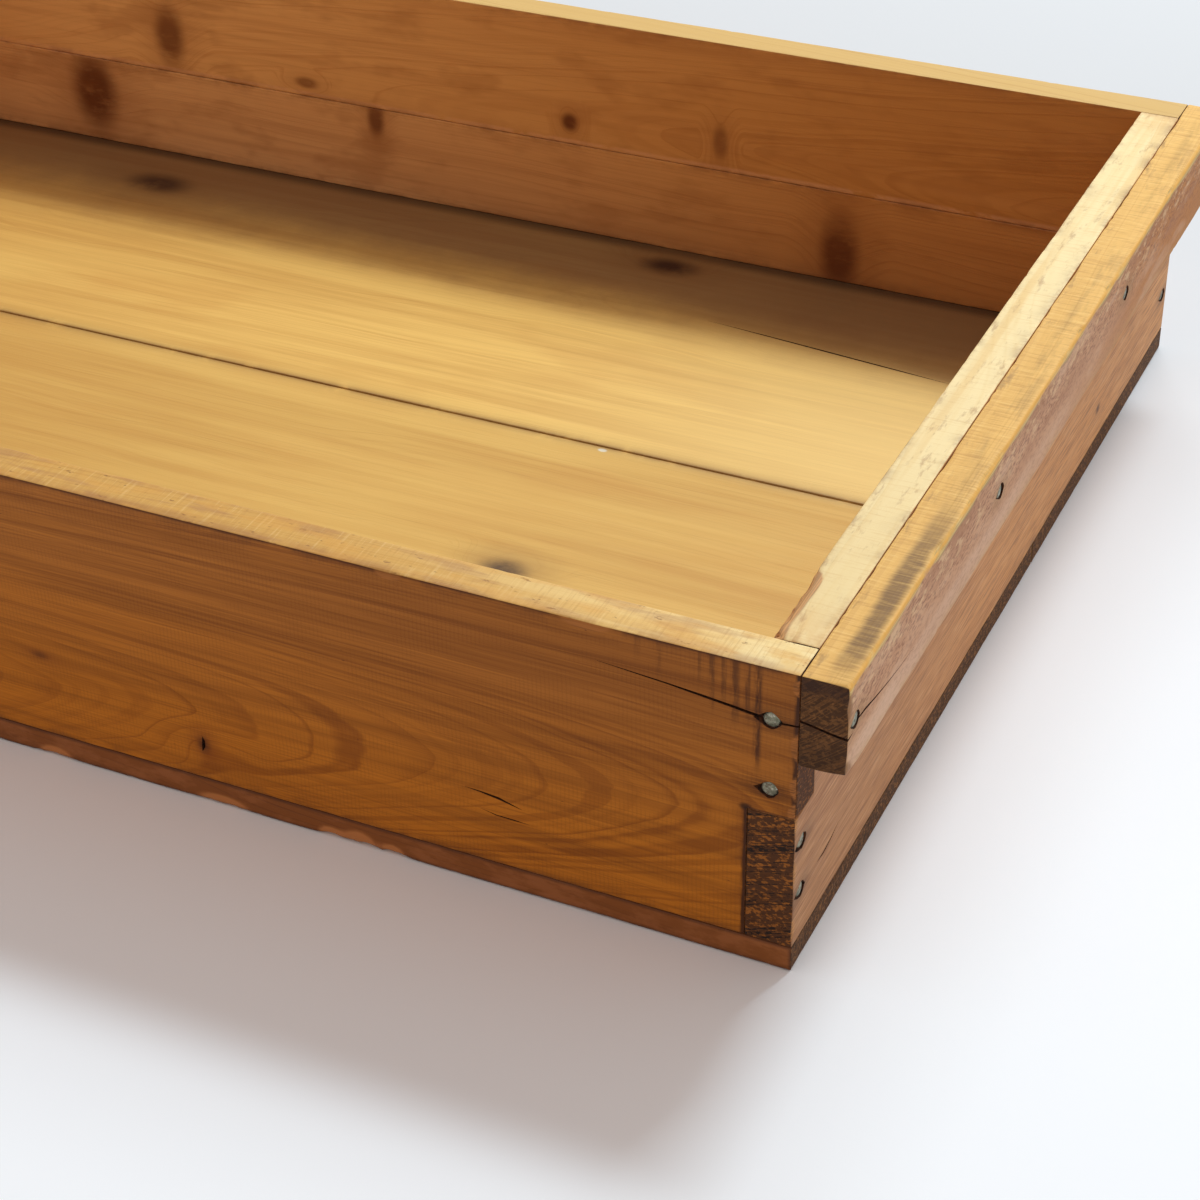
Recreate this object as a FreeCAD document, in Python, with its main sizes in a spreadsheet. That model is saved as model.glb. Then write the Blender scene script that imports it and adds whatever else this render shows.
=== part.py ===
import FreeCAD, Part
import os

import Sketcher
from FreeCAD import Rotation, Vector

# An open, shallow wooden tray box: nailed corners where a lap of each side wall sits on a
# finger of each end wall, a floor of two boards, and a lifting batten across both ends.
# Millimetres, +X to the right end, -Y to the front, +Z up. The origin lies under the
# middle of the box, on the surface that it stands on.

# Driving sizes. Each one is a cell of the sheet under the same name.
SIZES = {
    # The box over its walls, without the battens
    "box_length": 515,
    "box_depth": 350,
    "box_height": 90,
    # Board thicknesses
    "side_thickness": 12,
    "end_thickness": 12.5,
    "floor_thickness": 7.5,
    "batten_thickness": 12,
    # The end walls' fingers, above the floor boards, and the battens
    "finger_height": 40,
    "batten_height": 26,
    # The front floor board, and the gap that dried open behind it
    "front_floor_width": 200,
    "floor_gap": 0.6,
    # The glued joint of the back wall, above the floor boards
    "back_joint_height": 34.5,
    # Round wire nails
    "nail_length": 38,
    "nail_diameter": 2.2,
    "head_diameter": 5.1,
    "head_thickness": 0.9,
    "point_length": 3.6,
    "tip_diameter": 0.4,
    # How far a head sits below the wood, and the play of a nail in its hole
    "head_sink": 0.3,
    "nail_play": 0.05,
    # Nails through the side walls: off the middle of the end board, and up the lap
    "lap_nail_offset": 0.8,
    "lap_nail_low": 0.17,
    "lap_nail_high": 0.65,
    # Nails through the fingers: off the middle of the side board, and up the finger
    "finger_nail_offset": 0.8,
    "finger_nail_low": 0.375,
    "finger_nail_high": 0.76,
    # Batten nails: from an outer to an inner one, wood over the tip, and wood left
    # between an outer one and the lap nail that it crosses
    "batten_nail_pitch": 109,
    "tip_cover": 2.2,
    "crossing_wood": 0.4,
    # Floor nails: from the ends under a side wall, from the box's faces under an end
    # wall, and from the gap between the floor boards
    "side_nail_inset": 65,
    "end_nail_inset": 45,
    "gap_nail_inset": 22,
}
SIDE_NAIL_COUNT = 5

# Places that several pieces share, as expressions on the sheet
HALF_LENGTH = "(sizes.box_length / 2)"
HALF_DEPTH = "(sizes.box_depth / 2)"
INNER_LENGTH = "(sizes.box_length - 2 * sizes.end_thickness)"
INNER_DEPTH = "(sizes.box_depth - 2 * sizes.side_thickness)"
WALL_HEIGHT = "(sizes.box_height - sizes.floor_thickness)"
FINGER_TOP = "(sizes.floor_thickness + sizes.finger_height)"
LAP_HEIGHT = "(sizes.box_height - sizes.floor_thickness - sizes.finger_height)"
BACK_JOINT = "(sizes.floor_thickness + sizes.back_joint_height)"
FRONT_FLOOR_EDGE = "(sizes.front_floor_width - sizes.box_depth / 2)"
REAR_FLOOR_EDGE = f"({FRONT_FLOOR_EDGE} + sizes.floor_gap)"

# The middles of the wall boards, and the line that the finger nails keep to
SIDE_MIDDLE = f"({HALF_DEPTH} - sizes.side_thickness / 2)"
END_MIDDLE = f"({HALF_LENGTH} - sizes.end_thickness / 2)"
FINGER_NAIL_LINE = f"({SIDE_MIDDLE} + sizes.finger_nail_offset)"

ENDS = {"left": -1, "right": 1}
SIDES = {"front": -1, "back": 1}


def fill_sheet(doc):
    """Write every driving size into its own named cell."""
    sheet = doc.addObject("Spreadsheet::Sheet", "sizes")
    for row, (name, value) in enumerate(SIZES.items(), start=1):
        sheet.set(f"A{row}", name)
        sheet.set(f"B{row}", str(value))
        sheet.setAlias(f"B{row}", name)
    doc.recompute()


def bind(thing, **expressions):
    """Bind properties of an object to expressions on the sheet."""
    for name, expression in expressions.items():
        thing.setExpression(name, expression)


def place(thing, x="0", y="0", z="0"):
    """Bind the position of an object to expressions on the sheet."""
    for axis, expression in (("x", x), ("y", y), ("z", z)):
        thing.setExpression(f"Placement.Base.{axis}", expression)


# Boards: each blank is an outline on one of its own body's planes, padded both ways


def outline_sketch(body, plane_role, corners, centred):
    """A closed outline of level and upright lines whose first line is on the X axis.

    The centred lines are symmetric about the Y axis, which also holds them level.
    """
    sketch = body.newObject("Sketcher::SketchObject", f"{body.Name}_outline")
    plane = next(item for item in body.Origin.OriginFeatures if item.Role == plane_role)
    sketch.AttachmentSupport = [(plane, "")]
    sketch.MapMode = "FlatFace"
    for index, corner in enumerate(corners):
        next_corner = corners[(index + 1) % len(corners)]
        sketch.addGeometry(Part.LineSegment(Vector(*corner, 0), Vector(*next_corner, 0)))
    for index in range(len(corners)):
        next_line = (index + 1) % len(corners)
        sketch.addConstraint(Sketcher.Constraint("Coincident", index, 2, next_line, 1))
        if index % 2:
            sketch.addConstraint(Sketcher.Constraint("Vertical", index))
        elif index not in centred:
            sketch.addConstraint(Sketcher.Constraint("Horizontal", index))
    y_axis = -2
    for line in centred:
        sketch.addConstraint(Sketcher.Constraint("Symmetric", line, 1, line, 2, y_axis))
    x_axis = -1
    sketch.addConstraint(Sketcher.Constraint("PointOnObject", 0, 1, x_axis))
    return sketch


def dimension(sketch, kind, start, end, name, expression):
    """A named dimension between two line ends, bound to the sheet."""
    rough_value = 1
    index = sketch.addConstraint(Sketcher.Constraint(kind, *start, *end, rough_value))
    sketch.renameConstraint(index, name)
    sketch.setExpression(f"Constraints.{name}", expression)


def pad(body, sketch, thickness):
    """Pad an outline to the board's thickness, half of it on each side."""
    board = body.newObject("PartDesign::Pad", f"{body.Name}_pad")
    board.Profile = sketch
    board.SideType = "Symmetric"
    bind(board, Length=thickness)


def plain_board(doc, name, plane_role, width, height, thickness):
    """A board with a rectangular outline."""
    body = doc.addObject("PartDesign::Body", f"{name}_blank")
    corners = [(-2, 0), (2, 0), (2, 3), (-2, 3)]
    sketch = outline_sketch(body, plane_role, corners, centred=(0,))
    dimension(sketch, "DistanceX", (0, 1), (0, 2), "width", width)
    dimension(sketch, "DistanceY", (1, 1), (1, 2), "height", height)
    pad(body, sketch, thickness)
    return body


def wall_board(doc, name, plane_role, foot_width, top_width, thickness):
    """A wall whose width changes at the top of the corner fingers."""
    body = doc.addObject("PartDesign::Body", f"{name}_blank")
    corners = [(-2, 0), (2, 0), (2, 1), (3, 1), (3, 2), (-3, 2), (-3, 1), (-2, 1)]
    top_line = len(corners) // 2
    sketch = outline_sketch(body, plane_role, corners, centred=(0, top_line))
    right_step = (2, 2)
    left_step = (6, 1)
    sketch.addConstraint(Sketcher.Constraint("Horizontal", *right_step, *left_step))
    dimension(sketch, "DistanceX", (0, 1), (0, 2), "foot_width", foot_width)
    dimension(sketch, "DistanceX", (top_line, 2), (top_line, 1), "top_width", top_width)
    dimension(sketch, "DistanceY", (1, 1), (1, 2), "finger_height", "sizes.finger_height")
    dimension(sketch, "DistanceY", (1, 1), (3, 2), "wall_height", WALL_HEIGHT)
    pad(body, sketch, thickness)
    return body


def side_wall(doc, side, side_sign):
    """The long front or back wall, whose top laps over both end walls."""
    wall = wall_board(
        doc, f"{side}_side", "XZ_Plane", INNER_LENGTH, "sizes.box_length", "sizes.side_thickness"
    )
    place(wall, y=f"{side_sign} * {SIDE_MIDDLE}", z="sizes.floor_thickness")
    return wall


def end_wall(doc, end, end_sign):
    """A short end wall, whose lower fingers run through to the faces of the box."""
    wall = wall_board(
        doc, f"{end}_end", "YZ_Plane", "sizes.box_depth", INNER_DEPTH, "sizes.end_thickness"
    )
    place(wall, x=f"{end_sign} * {END_MIDDLE}", z="sizes.floor_thickness")
    return wall


def batten(doc, end, end_sign):
    """The lifting batten along the top of an end wall, flush with the rim and the faces."""
    strip = plain_board(
        doc,
        f"{end}_batten",
        "YZ_Plane",
        "sizes.box_depth",
        "sizes.batten_height",
        "sizes.batten_thickness",
    )
    place(
        strip,
        x=f"{end_sign} * ({HALF_LENGTH} + sizes.batten_thickness / 2)",
        z="sizes.box_height - sizes.batten_height",
    )
    return strip


def floor_board(doc, side, width, front_edge):
    """One of the two floor boards, nailed up against the walls from below."""
    board = plain_board(
        doc, f"{side}_floor", "XY_Plane", "sizes.box_length", width, "sizes.floor_thickness"
    )
    place(board, y=front_edge, z="sizes.floor_thickness / 2")
    return board


# Nails: one form is linked wherever a nail sits, and a larger one where its hole is cut


def nail_form(doc, name, length, play="0", seat_reach="0"):
    """A nail along +Z from the top of its head, larger all round by the play.

    The seat's reach opens the head's hole outwards, past the face that it is driven into.
    """
    head = doc.addObject("Part::Cylinder", f"{name}_head")
    bind(
        head,
        Radius=f"sizes.head_diameter / 2 + {play}",
        Height=f"sizes.head_thickness + {play} + {seat_reach}",
    )
    place(head, z=f"-({seat_reach})")
    shank = doc.addObject("Part::Cylinder", f"{name}_shank")
    bind(
        shank,
        Radius=f"sizes.nail_diameter / 2 + {play}",
        Height=f"{length} - sizes.point_length",
    )
    point = doc.addObject("Part::Cone", f"{name}_point")
    bind(
        point,
        Radius1=f"sizes.nail_diameter / 2 + {play}",
        Radius2=f"sizes.tip_diameter / 2 + {play}",
        Height=f"sizes.point_length + {play}",
    )
    place(point, z=f"{length} - sizes.point_length")
    form = doc.addObject("Part::MultiFuse", name)
    form.Shapes = [head, shank, point]
    form.Refine = True
    return form


def lap_nails(end_sign, side_sign):
    """Two nails through the lap of a side wall into the end wall's edge."""
    return [
        {
            "x": f"{end_sign} * ({END_MIDDLE} - sizes.lap_nail_offset)",
            "y": f"{side_sign} * ({HALF_DEPTH} - sizes.head_sink)",
            "z": f"{FINGER_TOP} + {LAP_HEIGHT} * sizes.{share}",
            "along": Vector(0, -side_sign, 0),
        }
        for share in ("lap_nail_low", "lap_nail_high")
    ]


def finger_nails(end_sign, side_sign):
    """Two nails through the finger of an end wall into the side wall's end."""
    return [
        {
            "x": f"{end_sign} * ({HALF_LENGTH} - sizes.head_sink)",
            "y": f"{side_sign} * {FINGER_NAIL_LINE}",
            "z": f"sizes.floor_thickness + sizes.finger_height * sizes.{share}",
            "along": Vector(-end_sign, 0, 0),
        }
        for share in ("finger_nail_low", "finger_nail_high")
    ]


def batten_nails(end_sign):
    """Four nails through a batten. The outer two pass just over the upper lap nails."""
    outer = FINGER_NAIL_LINE
    inner = f"({FINGER_NAIL_LINE} - sizes.batten_nail_pitch)"
    upper_lap_nail = f"{FINGER_TOP} + {LAP_HEIGHT} * sizes.lap_nail_high"
    return [
        {
            "x": f"{end_sign} * ({HALF_LENGTH} + sizes.batten_thickness - sizes.head_sink)",
            "y": f"{side_sign} * {line}",
            "z": f"{upper_lap_nail} + sizes.nail_diameter + sizes.crossing_wood",
            "along": Vector(-end_sign, 0, 0),
        }
        for side_sign in SIDES.values()
        for line in (outer, inner)
    ]


def side_floor_nails(side_sign):
    """A row of nails up through a floor board into a side wall."""
    steps = SIDE_NAIL_COUNT - 1
    pitch = f"(sizes.box_length - 2 * sizes.side_nail_inset) / {steps}"
    return [
        {
            "x": f"sizes.side_nail_inset - {HALF_LENGTH} + {index} * {pitch}",
            "y": f"{side_sign} * {SIDE_MIDDLE}",
            "z": "sizes.head_sink",
            "along": Vector(0, 0, 1),
        }
        for index in range(SIDE_NAIL_COUNT)
    ]


def end_floor_nails(end_sign):
    """Nails up into an end wall, two through each floor board."""
    places = (
        f"sizes.end_nail_inset - {HALF_DEPTH}",
        f"{FRONT_FLOOR_EDGE} - sizes.gap_nail_inset",
        f"{REAR_FLOOR_EDGE} + sizes.gap_nail_inset",
        f"{HALF_DEPTH} - sizes.end_nail_inset",
    )
    return [
        {
            "x": f"{end_sign} * {END_MIDDLE}",
            "y": nail_y,
            "z": "sizes.head_sink",
            "along": Vector(0, 0, 1),
        }
        for nail_y in places
    ]


def linked_forms(doc, name, form, nails):
    """One compound of a form linked at every nail of a list."""
    links = []
    for index, nail in enumerate(nails, start=1):
        link = doc.addObject("App::Link", f"{name}_{index}")
        link.LinkedObject = form
        link.Placement.Rotation = Rotation(Vector(0, 0, 1), nail["along"])
        place(link, nail["x"], nail["y"], nail["z"])
        links.append(link)
    group = doc.addObject("Part::Compound", name)
    group.Links = links
    return group


def nail_lists():
    """The nails of each node: those of full length, and the shorter ones of the battens."""
    full = {}
    short = {}
    for side, side_sign in SIDES.items():
        full[f"{side}_floor_nails"] = side_floor_nails(side_sign)
    for end, end_sign in ENDS.items():
        full[f"{end}_floor_nails"] = end_floor_nails(end_sign)
        short[f"{end}_batten_nails"] = batten_nails(end_sign)
        for side, side_sign in SIDES.items():
            full[f"{side}_{end}_lap_nails"] = lap_nails(end_sign, side_sign)
            full[f"{side}_{end}_finger_nails"] = finger_nails(end_sign, side_sign)
    return full, short


def nail_everything(doc):
    """The nail nodes by name, and one compound of all their holes."""
    full, short = nail_lists()
    lengths = {
        "nail": ("sizes.nail_length", full),
        "short_nail": (
            "(sizes.batten_thickness + sizes.end_thickness - sizes.tip_cover)",
            short,
        ),
    }
    seat_reach = "(sizes.head_sink + sizes.head_thickness)"
    nodes = {}
    holes = []
    for name, (length, groups) in lengths.items():
        nail = nail_form(doc, name, length)
        hole = nail_form(doc, f"{name}_hole", length, "sizes.nail_play", seat_reach)
        for node, nails in groups.items():
            nodes[node] = linked_forms(doc, node, nail, nails)
            holes.append(linked_forms(doc, f"{node}_holes", hole, nails))
    all_holes = doc.addObject("Part::Compound", "nail_holes")
    all_holes.Links = holes
    return nodes, all_holes


def drilled(doc, node, blank, holes):
    """A board with the hole of every nail that passes through it or ends in it."""
    board = doc.addObject("Part::Cut", node)
    board.Base = blank
    board.Tool = holes
    return board


def split_back_wall(doc, wall):
    """The back wall as the two boards that it was glued from."""
    upper_zone = doc.addObject("Part::Box", "back_upper_zone")
    bind(
        upper_zone,
        Length="sizes.box_length",
        Width="sizes.side_thickness",
        Height=f"sizes.box_height - {BACK_JOINT}",
    )
    place(
        upper_zone,
        x=f"-{HALF_LENGTH}",
        y=f"{HALF_DEPTH} - sizes.side_thickness",
        z=BACK_JOINT,
    )
    upper = doc.addObject("Part::MultiCommon", "back_upper_board")
    upper.Shapes = [wall, upper_zone]
    lower = doc.addObject("Part::Cut", "back_lower_board")
    lower.Base = wall
    lower.Tool = upper_zone
    return {"back_upper_board": upper, "back_lower_board": lower}


def build(doc):
    """The whole box: a dictionary of its nodes by name."""
    fill_sheet(doc)
    nodes, holes = nail_everything(doc)
    blanks = {
        "front_side_board": side_wall(doc, "front", SIDES["front"]),
        "front_floor_board": floor_board(
            doc, "front", "sizes.front_floor_width", f"-{HALF_DEPTH}"
        ),
        "rear_floor_board": floor_board(
            doc, "rear", f"{HALF_DEPTH} - {REAR_FLOOR_EDGE}", REAR_FLOOR_EDGE
        ),
    }
    for end, end_sign in ENDS.items():
        blanks[f"{end}_end_board"] = end_wall(doc, end, end_sign)
        blanks[f"{end}_batten"] = batten(doc, end, end_sign)
    for node, blank in blanks.items():
        nodes[node] = drilled(doc, node, blank, holes)
    back_blank = side_wall(doc, "back", SIDES["back"])
    back_wall = drilled(doc, "back_wall", back_blank, holes)
    nodes.update(split_back_wall(doc, back_wall))
    for node, thing in nodes.items():
        thing.Label = node
    doc.recompute()
    return nodes


def check(doc, nodes):
    """Stop if any feature failed, or a node has no sound solid."""
    for thing in doc.Objects:
        if "Invalid" in thing.State or "Error" in thing.State:
            raise RuntimeError(f"{thing.Name} failed: {thing.State}")
    for node, thing in nodes.items():
        shape = thing.Shape
        if shape.isNull() or not shape.isValid() or not shape.Solids:
            raise RuntimeError(f"{node} has no valid solid")


def main():
    doc = FreeCAD.newDocument("tray_box")
    nodes = build(doc)
    check(doc, nodes)
    os.makedirs("parts", exist_ok=True)
    for node, thing in sorted(nodes.items()):
        thing.Shape.exportStep(os.path.join("parts", f"{node}.step"))
        box = thing.Shape.BoundBox
        corner_text = ", ".join(f"{value:.2f}" for value in (box.XMin, box.YMin, box.ZMin))
        size_text = " x ".join(f"{value:.2f}" for value in (box.XLength, box.YLength, box.ZLength))
        print(f"{node}: {len(thing.Shape.Solids)} solid(s), from {corner_text}, {size_text}")


main()
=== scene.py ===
"""The looks of an open wooden tray box: varnished front, bare floor, nailed ends and battens."""

import math
from itertools import product

import bmesh
import bpy
import numpy as np
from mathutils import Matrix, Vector


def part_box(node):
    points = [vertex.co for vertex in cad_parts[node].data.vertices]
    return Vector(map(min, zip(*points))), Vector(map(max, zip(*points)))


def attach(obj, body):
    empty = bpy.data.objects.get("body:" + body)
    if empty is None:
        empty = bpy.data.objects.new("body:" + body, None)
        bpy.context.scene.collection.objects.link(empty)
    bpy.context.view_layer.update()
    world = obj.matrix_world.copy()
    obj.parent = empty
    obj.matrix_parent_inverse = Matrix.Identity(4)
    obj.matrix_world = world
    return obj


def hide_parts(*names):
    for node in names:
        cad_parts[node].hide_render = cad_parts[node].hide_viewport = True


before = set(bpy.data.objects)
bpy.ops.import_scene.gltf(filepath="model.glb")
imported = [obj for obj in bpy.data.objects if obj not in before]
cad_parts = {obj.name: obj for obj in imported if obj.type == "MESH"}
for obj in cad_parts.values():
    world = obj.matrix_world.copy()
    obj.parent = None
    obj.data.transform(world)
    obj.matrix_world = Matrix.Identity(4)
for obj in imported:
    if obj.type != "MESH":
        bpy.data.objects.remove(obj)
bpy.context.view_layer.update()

# Sizes in millimetres, in the row frame
MM = 0.001
FINGER_TOP = 47.5
GRID_STEP = 1.8
ARRIS_STEPS = (0.18, 0.45, 0.85, 1.4, 2.2, 3.3)
SHARP_ANGLE = math.radians(38)
NAIL_SHARP_ANGLE = math.radians(50)
NAIL_LEAN = math.radians(2.0)
NAIL_HEAD_REACH = 8.0
NAIL_RIM_DEPTH = 0.02
NAIL_STAIN_REACH = 3.4
ARRIS_REACH = 1.6
LEAST_CRACK_SHARE = 0.1
RIPPLE_PITCH = 1.15

# The faces that nails, cracks and dents are cut into: axis, level, and which way is outward
FRONT_FACE = (1, -175.0, -1)
BACK_FACE = (1, 175.0, 1)
RIGHT_FACE = (0, 257.5, 1)
LEFT_FACE = (0, -257.5, -1)
RIGHT_BATTEN_FACE = (0, 269.5, 1)
LEFT_BATTEN_FACE = (0, -269.5, -1)
UNDER_FACE = (2, 0.0, -1)
FLOOR_FACE = (2, 7.5, 1)


def shade(red, green, blue):
    """A colour as a paint chart gives it, from 0 to 255, as the linear one that a node holds."""
    parts = [c / 255 for c in (red, green, blue)]
    linear = [p / 12.92 if p <= 0.04045 else ((p + 0.055) / 1.055) ** 2.4 for p in parts]
    return (*linear, 1.0)


def darkened(colour, share):
    """A share of a paint chart's colour, as a linear one."""
    return tuple(c * share for c in shade(*colour)[:3]) + (1.0,)


# Node materials


class Value:
    """A socket of one material's tree. Python's operators on it add Math nodes."""

    def __init__(self, finish, socket):
        self.finish = finish
        self.socket = socket

    def math(self, operation, *others):
        return self.finish.node("ShaderNodeMath", {"operation": operation}, [self, *others])

    def __add__(self, other):
        return self.math("ADD", other)

    def __sub__(self, other):
        return self.math("SUBTRACT", other)

    def __mul__(self, other):
        return self.math("MULTIPLY", other)

    def __truediv__(self, other):
        return self.math("DIVIDE", other)

    def __rsub__(self, other):
        return self.finish.node("ShaderNodeMath", {"operation": "SUBTRACT"}, [other, self])

    __radd__ = __add__
    __rmul__ = __mul__

    def abs(self):
        return self.math("ABSOLUTE")

    def rise(self, low, high, bottom=0.0, top=1.0):
        """From bottom to top as the value goes from low to high, smoothly."""
        settings = {"interpolation_type": "SMOOTHSTEP"}
        sockets = {0: self, 1: low, 2: high, 3: bottom, 4: top}
        return self.finish.node("ShaderNodeMapRange", settings, sockets)


class Finish:
    """One material and the nodes that make its pattern."""

    def __init__(self, name):
        self.material = bpy.data.materials.new(name)
        self.material.use_nodes = True
        self.tree = self.material.node_tree
        self.shader = self.tree.nodes["Principled BSDF"]

    def fill(self, node, sockets):
        """Sets or links a node's sockets, given as a list or by name or number."""
        pairs = sockets.items() if isinstance(sockets, dict) else enumerate(sockets)
        for key, given in pairs:
            if isinstance(given, Value):
                self.tree.links.new(given.socket, node.inputs[key])
            else:
                node.inputs[key].default_value = given

    def node(self, kind, settings=None, sockets=(), output=0):
        """A node of that type: its settings, then its sockets, and the output asked for."""
        node = self.tree.nodes.new(kind)
        for name, setting in (settings or {}).items():
            setattr(node, name, setting)
        self.fill(node, sockets)
        return Value(self, node.outputs[output])

    def vector(self, operation, *sockets, output=0):
        return self.node("ShaderNodeVectorMath", {"operation": operation}, list(sockets), output)

    def place(self):
        """Object coordinates in millimetres."""
        metres = self.node("ShaderNodeTexCoord", output="Object")
        return self.vector("MULTIPLY", metres, (1 / MM, 1 / MM, 1 / MM))

    def facing(self):
        """How far the surface faces along X, Y and Z."""
        return self.parts(self.node("ShaderNodeTexCoord", output="Normal"))

    def parts(self, vector):
        split = self.tree.nodes.new("ShaderNodeSeparateXYZ")
        self.tree.links.new(vector.socket, split.inputs[0])
        return [Value(self, output) for output in split.outputs]

    def joined(self, *numbers):
        return self.node("ShaderNodeCombineXYZ", None, list(numbers))

    def noise(self, vector, size, detail=2.0, rough=0.5, bend=0.0, output=0):
        """Noise whose patches measure about size, a number or three, in the vector's units."""
        sizes = size if isinstance(size, tuple) else (size, size, size)
        scaled = self.vector("MULTIPLY", vector, tuple(1 / s for s in sizes))
        sockets = {"Vector": scaled, "Scale": 1.0, "Detail": detail}
        sockets.update({"Roughness": rough, "Distortion": bend})
        return self.node("ShaderNodeTexNoise", None, sockets, output)

    def mix(self, share, *colours):
        """A share of the second colour over the first. Three numbers are a paint chart's colour."""
        first, second = [
            shade(*c) if isinstance(c, tuple) and len(c) == 3 else c for c in colours
        ]
        return self.node("ShaderNodeMix", {"data_type": "RGBA"}, {0: share, 6: first, 7: second}, 2)

    def layered(self, colour, layers):
        """A colour with layers over it, each a share and the colour that it has."""
        for share, top in layers:
            colour = self.mix(share, colour, top)
        return colour

    def spot(self, place, centre, size, edge=0.0):
        """1 at the middle of an ellipsoid patch and 0 outside it."""
        offset = self.vector("SUBTRACT", place, centre)
        scaled = self.vector("MULTIPLY", offset, tuple(1 / s for s in size))
        reach = self.vector("LENGTH", scaled, output=1)
        return reach.rise(edge, 1.0, 1.0, 0.0)

    def attribute(self, name):
        return self.node("ShaderNodeAttribute", {"attribute_name": name}, output="Fac")

    def bump(self, height):
        """Relief whose height is in millimetres."""
        sockets = {"Strength": 1.0, "Distance": MM, "Height": height}
        return self.node("ShaderNodeBump", None, sockets)

    def done(self, **sockets):
        """Fills the shader's own sockets, named with underscores for their spaces."""
        self.fill(self.shader, {key.replace("_", " "): given for key, given in sockets.items()})
        return self.material


# How the wood is cut: where the pith lies, how it leans, and how wide the growth rings are


class Cut:
    """The growth rings of one board, in grain coordinates: along, then the two across."""

    def __init__(self, along, pith, lean, ring, wander=5.0, knots=()):
        self.along = along
        self.pith = pith
        self.lean = lean
        self.ring = ring
        self.wander = wander
        self.knots = knots


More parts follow.
